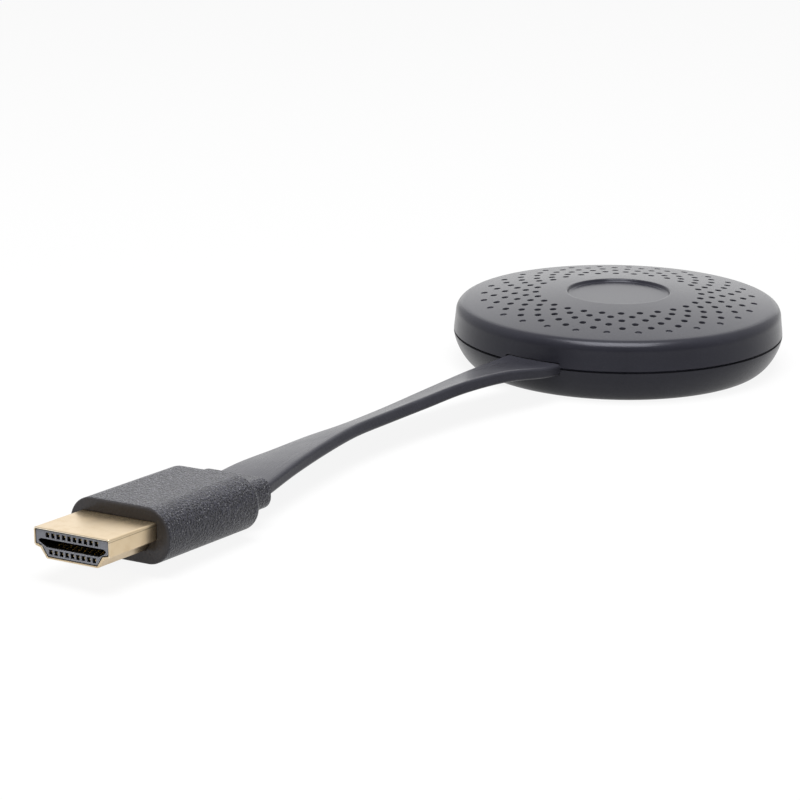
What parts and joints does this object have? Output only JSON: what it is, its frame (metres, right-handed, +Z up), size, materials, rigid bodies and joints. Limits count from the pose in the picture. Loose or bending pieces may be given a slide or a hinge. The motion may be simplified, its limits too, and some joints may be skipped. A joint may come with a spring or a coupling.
{
  "type": "screen mirroring dongle",
  "caption": "Round domed wireless video receiver with a vented top, a short flat captive cable, a video plug, a power socket and a mode button on its rim.",
  "frame": {"origin": "centre of the case's flat base, on the surface that it lies on", "axes": "+Z up through the domed top, -Y along the cable towards the plug, +Y towards the power socket, +X to the right as seen from the plug's side with Z up"},
  "size_m": [0.0596, 0.1795, 0.0131],
  "materials": {
    "case_plastic": "fine textured dark grey",
    "button_plastic": "satin dark grey",
    "cable_plastic": "smooth satin",
    "mould_plastic": "grainy moulded",
    "gold_plate": "pale gold plating, satin",
    "contact_gold": "bright",
    "insulator_plastic": "moulded slate grey",
    "board_laminate": "solder resist",
    "chip_resin": "matt moulded",
    "module_laminate": "solder resist",
    "tinned_steel": "tinned",
    "spreader_alloy": "plain sheet",
    "pad_rubber": "soft matt",
    "ceramic": "fired ceramic",
    "ferrite": "sintered",
    "led_resin": "clear resin",
    "antenna_copper": "film covered copper",
    "wire_plastic": "insulation",
    "inner_plastic": "waxy polyethylene",
    "plunger_plastic": "smooth"
  },
  "bodies": {
    "dongle": {"top_cover": "case_plastic", "bottom_cover": "case_plastic", "heat_spreader": "spreader_alloy", "thermal_pad": "pad_rubber", "plate_screws": "tinned_steel", "main_board": "board_laminate", "processor": "chip_resin", "memory_chips": "chip_resin", "flash_chip": "chip_resin", "power_chip": "chip_resin", "wireless_board": "module_laminate", "wireless_shield": "tinned_steel", "crystals": "tinned_steel", "inductors": "ferrite", "capacitors": "ceramic", "resistors": "chip_resin", "status_led": "led_resin", "antenna_strip": "antenna_copper", "antenna_lead": "cable_plastic", "antenna_connector": "contact_gold", "socket_shell": "tinned_steel", "socket_tongue": "chip_resin", "socket_contacts": "contact_gold", "switch_body": "chip_resin", "cable_anchor": "mould_plastic", "cable_wires": "wire_plastic", "solder_joints": "tinned_steel", "flat_cable": "cable_plastic", "plug_cable_end": "cable_plastic", "plug_overmould": "mould_plastic", "crimp_ferrule": "tinned_steel", "rear_shield": "tinned_steel", "inner_mould": "inner_plastic", "plug_wires": "wire_plastic", "plug_insulator": "insulator_plastic", "upper_contacts": "contact_gold", "lower_contacts": "contact_gold", "plug_shell": "gold_plate"},
    "button": {"mode_button": "button_plastic", "switch_plunger": "plunger_plastic"}
  },
  "joints": [
    {"name": "button_press", "type": "slide", "parent": "dongle", "child": "button", "axis": [0.4067, -0.9135, 0], "range_m": [0, 0.00035], "stiffness_N_per_m": 2000, "springref_m": -0.0003}
  ]
}
